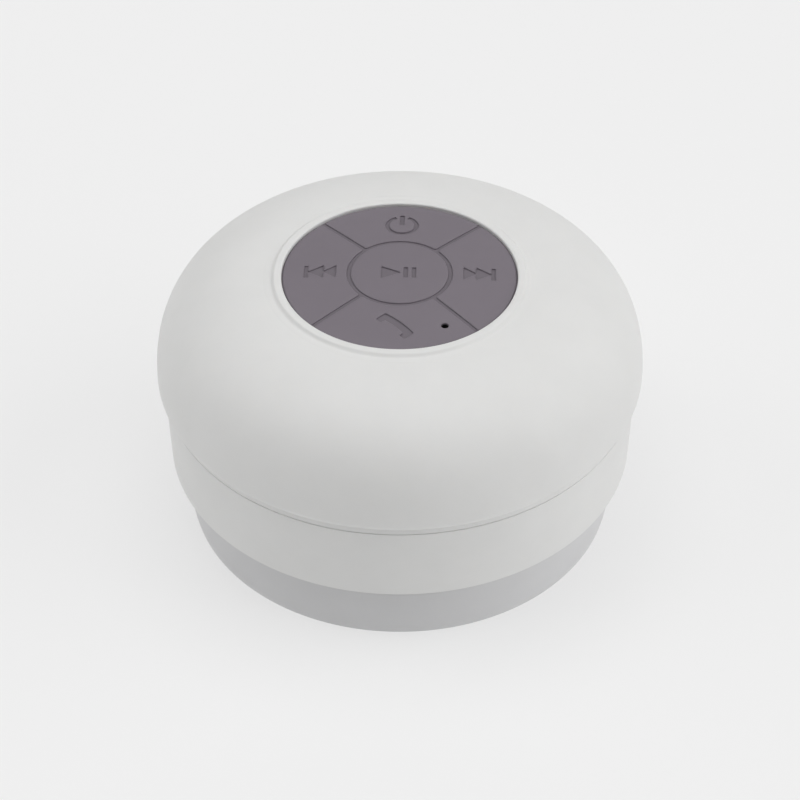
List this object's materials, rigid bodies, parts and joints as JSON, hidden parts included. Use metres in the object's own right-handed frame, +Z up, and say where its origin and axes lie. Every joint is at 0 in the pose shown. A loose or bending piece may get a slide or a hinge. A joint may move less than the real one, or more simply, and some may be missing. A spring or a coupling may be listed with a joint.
{
  "type": "shower speaker",
  "caption": "Round waterproof shower speaker: soft white dome with a flush grey keypad on top, a band with a covered charging port, and a suction cup base.",
  "frame": {"origin": "centre of the suction cup's lip, on the plane the lip rests on", "axes": "+Z up through the middle of the keypad, +Y towards the charging port, -Y towards the call key"},
  "size_m": [0.086, 0.086, 0.0492],
  "materials": {
    "white_silicone": "smooth matt silicone",
    "white_abs": "fine spark-eroded texture",
    "grey_key_silicone": "smooth matt silicone",
    "grey_cup_silicone": "smooth satin silicone",
    "black_plastic": "moulded",
    "circuit_board": "solder mask",
    "zinc_steel": "zinc plated",
    "chip_epoxy": "moulded",
    "microphone_can": "drawn",
    "black_rubber": "matt",
    "connector_nylon": "moulded",
    "red_wire": "satin",
    "black_wire": "satin",
    "socket_steel": "nickel plated, folded",
    "basket_steel": "black coated",
    "black_foam": "fine foam",
    "brass_tags": "tinned",
    "plated_steel": "nickel plated",
    "magnet": "nickel plated",
    "copper_coil": "enamelled wire",
    "cone_film": "pressed film",
    "spider_cloth": "resin-dipped cloth",
    "mesh_cloth": "fine acoustic mesh",
    "battery_pouch": "foil pouch"
  },
  "bodies": {
    "housing": {"dome_cover": "white_silicone", "upper_housing": "white_abs", "keypad_web": "grey_key_silicone", "switch_bodies": "black_plastic", "main_board": "circuit_board", "board_screws": "zinc_steel", "board_chips": "chip_epoxy", "microphone": "microphone_can", "microphone_boot": "black_rubber", "lead_plugs": "connector_nylon", "battery_lead_positive": "red_wire", "battery_lead_negative": "black_wire", "speaker_leads": "black_wire", "charge_leads": "red_wire", "lower_housing": "white_abs", "housing_seal": "black_rubber", "housing_screws": "zinc_steel", "band_sleeve": "white_silicone", "port_well": "white_abs", "port_cover_tether": "white_silicone", "usb_socket_shell": "socket_steel", "usb_socket_tongue": "black_plastic", "charge_board": "circuit_board", "charge_board_screws": "zinc_steel", "driver_basket": "basket_steel", "driver_gasket": "black_foam", "driver_screws": "zinc_steel", "driver_tags": "brass_tags", "driver_yoke": "plated_steel", "driver_magnet": "magnet", "driver_pole_plate": "plated_steel", "driver_surround": "black_foam", "driver_spider": "spider_cloth", "waterproof_mesh": "mesh_cloth", "battery": "battery_pouch", "battery_tape": "black_foam", "cup_carrier": "white_abs", "carrier_screws": "zinc_steel", "suction_cup": "grey_cup_silicone"},
    "power_button": {"power_key": "grey_key_silicone", "power_plunger": "black_plastic"},
    "previous_button": {"previous_key": "grey_key_silicone", "previous_plunger": "black_plastic"},
    "next_button": {"next_key": "grey_key_silicone", "next_plunger": "black_plastic"},
    "call_button": {"call_key": "grey_key_silicone", "call_plunger": "black_plastic"},
    "play_button": {"play_key": "grey_key_silicone", "play_plunger": "black_plastic"},
    "cone": {"driver_cone": "cone_film", "dust_cap": "cone_film", "voice_coil": "copper_coil"},
    "port_flap": {"port_cover": "white_silicone"}
  },
  "joints": [
    {"name": "power_press", "type": "slide", "parent": "housing", "child": "power_button", "axis": [0, 0, -1], "range_m": [0, 0.0004], "stiffness_N_per_m": 3000, "springref_m": -0.0002},
    {"name": "previous_press", "type": "slide", "parent": "housing", "child": "previous_button", "axis": [0, 0, -1], "range_m": [0, 0.0004], "stiffness_N_per_m": 3000, "springref_m": -0.0002},
    {"name": "next_press", "type": "slide", "parent": "housing", "child": "next_button", "axis": [0, 0, -1], "range_m": [0, 0.0004], "stiffness_N_per_m": 3000, "springref_m": -0.0002},
    {"name": "call_press", "type": "slide", "parent": "housing", "child": "call_button", "axis": [0, 0, -1], "range_m": [0, 0.0004], "stiffness_N_per_m": 3000, "springref_m": -0.0002},
    {"name": "play_press", "type": "slide", "parent": "housing", "child": "play_button", "axis": [0, 0, -1], "range_m": [0, 0.0004], "stiffness_N_per_m": 3000, "springref_m": -0.0002},
    {"name": "cone_travel", "type": "slide", "parent": "housing", "child": "cone", "axis": [0, 0, 1], "range_m": [-0.0008, 0.0008], "stiffness_N_per_m": 1900, "deforming": ["driver_surround", "driver_spider"]},
    {"name": "port_cover_hinge", "type": "hinge", "parent": "housing", "child": "port_flap", "pos_m": [-0.00835, 0.0409, 0.0199], "axis": [0, 0, 1], "range_deg": [0, 120]}
  ]
}
